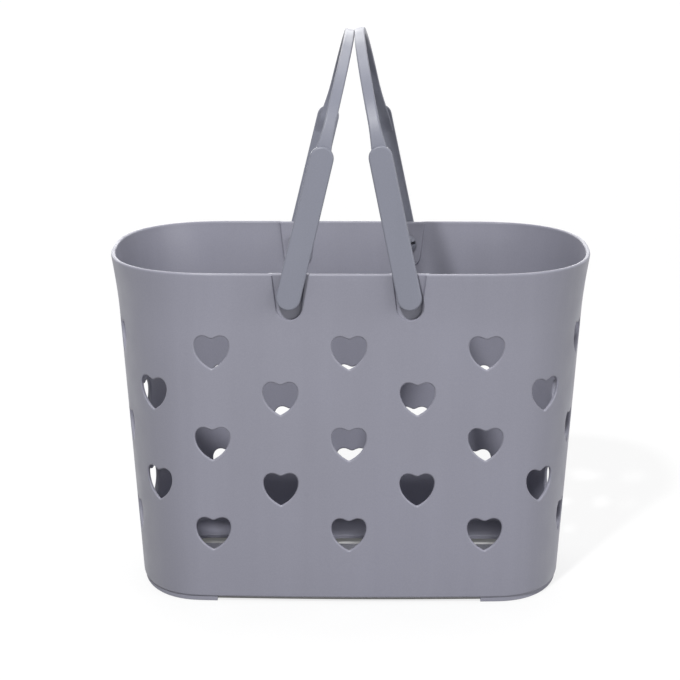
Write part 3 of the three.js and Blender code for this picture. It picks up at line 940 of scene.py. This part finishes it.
def stud_profile(start):
    """Profile of a stud from the boss to its tip: radius and distance from the middle plane, and
    the direction outward and along."""
    radius = HOLE_RADIUS - STUD_CLEARANCE
    lip = radius + LIP_OVERHANG + STUD_CLEARANCE
    lip_start = recess_floor(PIVOT_Z - lip) - WALL - FACE_CLEARANCE
    lip_end = lip_start - LIP_LENGTH
    tip = lip_end - LEAD_IN_LENGTH
    tip_radius = radius - ARM_EDGE
    lead = math.atan2(lip - tip_radius, LEAD_IN_LENGTH)
    return [
        (radius, start, 1, 0), (radius, lip_start, 1, 0),
        (radius, lip_start, 0, 1), (lip, lip_start, 0, 1),
        (lip, lip_start, 1, 0), (lip, lip_end, 1, 0),
        (lip, lip_end, math.cos(lead), -math.sin(lead)),
        (tip_radius, tip, math.cos(lead), -math.sin(lead)),
        (tip_radius, tip, 0, -1), (radius * STUD_CORE, tip, 0, -1),
    ]


def stud_mesh(piece, inner_face, turn):
    """Boss and the two halves of the split stud, with their lips."""
    inward = np.array([0, -1, 0]) * turn
    boss_end = recess_floor(PIVOT_Z + BOSS_RADIUS) + FACE_CLEARANCE
    boss = circle(0, BOSS_RADIUS)
    around = upright(circle(0, 1), 0) * turn
    levels = (inner_face + ARM_EDGE, boss_end)
    ids = piece.rings([(upright(boss, y) * turn, around) for y in levels])
    piece.cap(ids[-1], inward)

    for half in (1, -1):
        turn_half = turn * [1, 1, half]
        rounds, flats = [], []
        for radius, y, out, along in stud_profile(boss_end + FACE_CLEARANCE):
            start = math.asin(min(1.0, SLIT_WIDTH / 2 / radius))
            angle = np.linspace(start, math.pi - start, ARC_STEPS)
            points = upright(arc(0, radius, angle), y) * turn_half
            rounds.append(piece.add(points, upright(arc(0, out, angle), along) * turn_half))
            flats.append(piece.add(points[[0, -1]], [[0, 0, -half]] * 2))
        for lines in (rounds, flats):
            for first, second in zip(lines[:-1], lines[1:]):
                piece.band(first, second, closed=False)
        piece.cap(rounds[-1], inward)


def rest_leans():
    """Leans at which the two handles rest on each other, turned a little to the right together."""
    reach = HANDLE_HEIGHT - STRAP_EDGE
    half = STRAP_CROWN_WIDTH / 2
    even = math.asin((PIVOT_X - REST_CLEARANCE / 2) / math.hypot(reach, half))
    left = even - math.atan2(half, reach) + REST_SHIFT
    corner_x = -PIVOT_X + reach * math.sin(left) + half * math.cos(left)
    corner_z = reach * math.cos(left) - half * math.sin(left)
    span = math.hypot(PIVOT_X - corner_x, corner_z)
    right = math.atan2(PIVOT_X - corner_x, corner_z) - math.asin((half + REST_CLEARANCE) / span)
    return left, right


def handle_form(name, side, lean, material):
    """Two arms, the strap and the studs of one handle, leaned about its pivot."""
    piece = Piece()
    inner_face = RIM_DEPTH / 2 + ARM_CLEARANCE
    outer_face = inner_face + ARM_THICKNESS
    for sign in (1, -1):
        turn = np.array([sign, sign, 1.0])
        arm_mesh(piece, inner_face, outer_face, turn)
        stud_mesh(piece, inner_face, turn)
    strap_mesh(piece, outer_face)
    cos, sin = math.cos(lean), math.sin(lean)
    leaned = np.array([[cos, 0, sin], [0, 1, 0], [-sin, 0, cos]])
    piece.place(leaned, np.array([side * PIVOT_X, 0, PIVOT_Z]))
    return piece.build(name, material)


# Tints of the plastic, darker and lighter, as 8-bit display colours
BODY_TINTS = (138, 138, 150), (141, 141, 154)
HANDLE_TINTS = (124, 126, 138), (128, 130, 142)

# Patterns in the plastic: scale and detail of each noise, and the stretch of the flow lines
DRIFT = (9, 2)
FLOW = (110, 2)
SPECKLE = (1500, 2)
GLOSS = (60, 3)
PEEL = (620, 2)
WAVES = (45, 1)
FLOW_STRETCH = (1, 1, 0.04)

# The middle of a noise's range, and what the patterns make of it
NOISE_LOW, NOISE_HIGH = 0.35, 0.65
FLOW_RANGE = (0.985, 1.015)
SPECKLE_RANGE = (0.975, 1.025)
ROUGHNESS_RANGE = (0.38, 0.47)
PEEL_BUMP = {"Strength": 0.16, "Distance": 0.0001}
WAVES_BUMP = {"Strength": 0.25, "Distance": 0.0006}
POLYPROPYLENE = {"IOR": 1.49, "Specular IOR Level": 0.4}


def linear(red, green, blue):
    """Linear colour of an 8-bit display colour."""
    def one(value):
        value /= 255
        return value / 12.92 if value <= 0.04045 else ((value + 0.055) / 1.055) ** 2.4
    return one(red), one(green), one(blue), 1.0


def grey(value):
    return value, value, value, 1.0


class Nodes:
    """Short calls that add nodes to a tree and link them."""

    def __init__(self, owner):
        owner.use_nodes = True
        self.tree = owner.node_tree
        self.tree.nodes.clear()

    def add(self, kind, inputs=None, **settings):
        made = self.tree.nodes.new("ShaderNode" + kind)
        made.location = (len(self.tree.nodes) * 180, 0)
        for name, value in settings.items():
            setattr(made, name, value)
        for name, value in (inputs or {}).items():
            if isinstance(value, bpy.types.NodeSocket):
                self.tree.links.new(value, made.inputs[name])
            else:
                made.inputs[name].default_value = value
        return made

    def noise(self, vector, scale, detail):
        inputs = {"Vector": vector, "Scale": scale, "Detail": detail}
        return self.add("TexNoise", inputs).outputs["Fac"]

    def spread(self, value, low, high, start=NOISE_LOW, end=NOISE_HIGH):
        """Maps the range from start to end to the range from low to high."""
        ranges = {"Value": value, "From Min": start, "From Max": end, "To Min": low, "To Max": high}
        return self.add("MapRange", ranges).outputs["Result"]

    def scaled(self, vector, factor):
        return self.add("VectorMath", {0: vector, "Scale": factor}, operation="SCALE").outputs[0]

    def bump(self, height, settings, **inputs):
        return self.add("Bump", {"Height": height, **settings, **inputs}).outputs["Normal"]


def moulded_plastic(name, darker, lighter):
    """Satin moulded polypropylene: a slow drift between two tints, faint upright flow lines, fine
    speckle, uneven gloss, and a bump of orange peel over very slight waves."""
    material = bpy.data.materials.new(name)
    nodes = Nodes(material)
    place = nodes.add("TexCoord").outputs["Object"]
    upright_place = nodes.add("Mapping", {"Vector": place, "Scale": FLOW_STRETCH}).outputs["Vector"]
    drift = nodes.spread(nodes.noise(place, *DRIFT), 0, 1)
    tints = {"Factor": drift, "A": linear(*darker), "B": linear(*lighter)}
    tint = nodes.add("Mix", tints, data_type="RGBA").outputs["Result"]
    flow = nodes.spread(nodes.noise(upright_place, *FLOW), *FLOW_RANGE)
    speckle = nodes.spread(nodes.noise(place, *SPECKLE), *SPECKLE_RANGE)
    roughness = nodes.spread(nodes.noise(place, *GLOSS), *ROUGHNESS_RANGE)
    peel = nodes.bump(nodes.noise(place, *PEEL), PEEL_BUMP)
    relief = nodes.bump(nodes.noise(place, *WAVES), WAVES_BUMP, Normal=peel)
    colour = nodes.scaled(nodes.scaled(tint, flow), speckle)
    surface = {"Base Color": colour, "Roughness": roughness, "Normal": relief, **POLYPROPYLENE}
    shader = nodes.add("BsdfPrincipled", surface)
    nodes.add("OutputMaterial", {"Surface": shader.outputs["BSDF"]})
    return material


# Photograph's camera: fitted to the rim, the walls, the hearts and the base
CAMERA_PLACE = (0.01558, -1.401, 0.41618)
CAMERA_PITCH = 11.918
CAMERA_YAW = 0.864
CAMERA_FOCUS = 2744.6
CAMERA_NEAR = 0.05
PHOTO_SIZE = 680
SENSOR = 36.0


def place_camera():
    data = bpy.data.cameras.new("photo_camera")
    data.sensor_width = SENSOR
    data.lens = CAMERA_FOCUS / PHOTO_SIZE * SENSOR
    data.clip_start = CAMERA_NEAR
    camera = new_object("photo_camera", data)
    camera.location = CAMERA_PLACE
    camera.rotation_euler = (math.radians(90 - CAMERA_PITCH), 0, math.radians(CAMERA_YAW))
    bpy.context.scene.camera = camera


# Studio: the light of the surroundings, and the floor as it reflects light and as it is seen
AMBIENT = 0.2
FLOOR_REACH = 20.0
FLOOR_DROP = 0.0001
FLOOR_GREY = 0.3
FLOOR_SEEN_GREY = 0.2

# The floor's glow, and the distances between which it grows
GLOW_NEAR, GLOW_FAR = 0.8, 0.88
GLOW_START, GLOW_END = 0.4, 3.0

# Patch of floor under the base: plain grey that shows the shade there, lifted by a faint painted
# glow
PATCH_GREY = 0.6
PATCH_PAINTED_GLOW = 0.1
PATCH_INSET = 0.006

# Key lamp: a small soft source in front of the basket, above it and to the left
KEY_PLACE = (-0.375, -1.4, 1.38)
KEY_RADIUS = 0.07
KEY_POWER = 114

# Distant lamps: name, bearing from the front towards the right, height, softness and strength
LAMPS = (
    ("fill", 60, 8, 45, 1.5),
    ("above", 175, 65, 40, 1.3),
    ("back", 188, 14, 45, 1.1),
)


def seen_directly(nodes):
    """1 for camera, glossy and transmission rays, 0 for the rays that carry light."""
    path = nodes.add("LightPath").outputs
    seen = path["Is Camera Ray"]
    for ray in ("Is Glossy Ray", "Is Transmission Ray"):
        seen = nodes.add("Math", {0: seen, 1: path[ray]}, operation="MAXIMUM").outputs[0]
    return seen


def surroundings():
    """Even soft light, seen as white."""
    world = bpy.data.worlds.new("studio")
    bpy.context.scene.world = world
    nodes = Nodes(world)
    lit = nodes.add("Background", {"Color": grey(1), "Strength": AMBIENT}).outputs[0]
    white = nodes.add("Background", {"Color": grey(1), "Strength": 1.0}).outputs[0]
    shown = nodes.add("MixShader", {"Fac": seen_directly(nodes), 1: lit, 2: white}).outputs[0]
    nodes.add("OutputWorld", {"Surface": shown})


def glowing_surface(nodes, reflected, seen, strength):
    """Plain grey to the rays that carry light, and where it is seen another grey that glows."""
    plain = nodes.add("BsdfDiffuse", {"Color": grey(reflected)}).outputs[0]
    shaded = nodes.add("BsdfDiffuse", {"Color": grey(seen)}).outputs[0]
    glow = nodes.add("Emission", {"Color": grey(1), "Strength": strength}).outputs[0]
    lit = nodes.add("AddShader", {0: shaded, 1: glow}).outputs[0]
    shown = nodes.add("MixShader", {"Fac": seen_directly(nodes), 1: plain, 2: lit}).outputs[0]
    nodes.add("OutputMaterial", {"Surface": shown})


def flat_sheet(name, outline, level, material):
    mesh = bpy.data.meshes.new(name)
    mesh.from_pydata([(x, y, level) for x, y in outline], [], [tuple(range(len(outline)))])
    mesh.materials.append(material)
    new_object(name, mesh)


def pale_floor():
    """Floor that is seen as white with the object's shadow on it. Its glow grows with distance,
    because the key lamp falls off."""
    material = bpy.data.materials.new("floor_white")
    nodes = Nodes(material)
    place = nodes.add("TexCoord").outputs["Object"]
    distance = nodes.add("VectorMath", {0: place}, operation="LENGTH").outputs["Value"]
    strength = nodes.spread(distance, GLOW_NEAR, GLOW_FAR, GLOW_START, GLOW_END)
    glowing_surface(nodes, FLOOR_GREY, FLOOR_SEEN_GREY, strength)
    square = np.array([(-1, -1), (1, -1), (1, 1), (-1, 1)]) * FLOOR_REACH
    flat_sheet("floor", square.tolist(), -2 * FLOOR_DROP, material)


def floor_patch():
    """Plain patch under the base, so that what shows through the drain slots is dark with the shade
    there; a faint painted glow lifts it.
    """
    material = bpy.data.materials.new("floor_under")
    # painted light: the patch glows faintly where it is seen, lifting the shade seen through the
    # drain slots
    glowing_surface(Nodes(material), PATCH_GREY, PATCH_GREY, PATCH_PAINTED_GLOW)
    share = np.linspace(0, 1, PATCH_POINTS, endpoint=False)
    base = np.full(PATCH_POINTS, FOOT_HEIGHT + BASE_ROUND)
    outline = plan_point(share, base) - outward(share, base)[:, :2] * PATCH_INSET
    flat_sheet("floor_patch", outline.tolist(), -FLOOR_DROP, material)


def put_lamp(name, kind, energy):
    data = bpy.data.lights.new(name, kind)
    data.energy = energy
    return new_object(name, data)


def lamps():
    key = put_lamp("key", "POINT", KEY_POWER)
    key.data.shadow_soft_size = KEY_RADIUS
    key.location = KEY_PLACE
    for name, bearing, height, softness, strength in LAMPS:
        lamp = put_lamp(name, "SUN", strength)
        lamp.data.angle = math.radians(softness)
        lamp.rotation_euler = (math.radians(90 - height), 0, math.radians(bearing))


plastic_body = moulded_plastic("plastic_body", *BODY_TINTS)
plastic_handle = moulded_plastic("plastic_handle", *HANDLE_TINTS)

shell = basket_shell(plastic_body)
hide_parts("basket_body")
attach(shell, "basket")

left_lean, right_lean = rest_leans()
for handle, side, lean in (("left_handle", -1, left_lean), ("right_handle", 1, -right_lean)):
    form = handle_form(handle + "_form", side, lean, plastic_handle)
    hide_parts(handle)
    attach(form, handle)

surroundings()
pale_floor()
floor_patch()
lamps()
place_camera()
bpy.context.scene.view_settings.view_transform = "Standard"
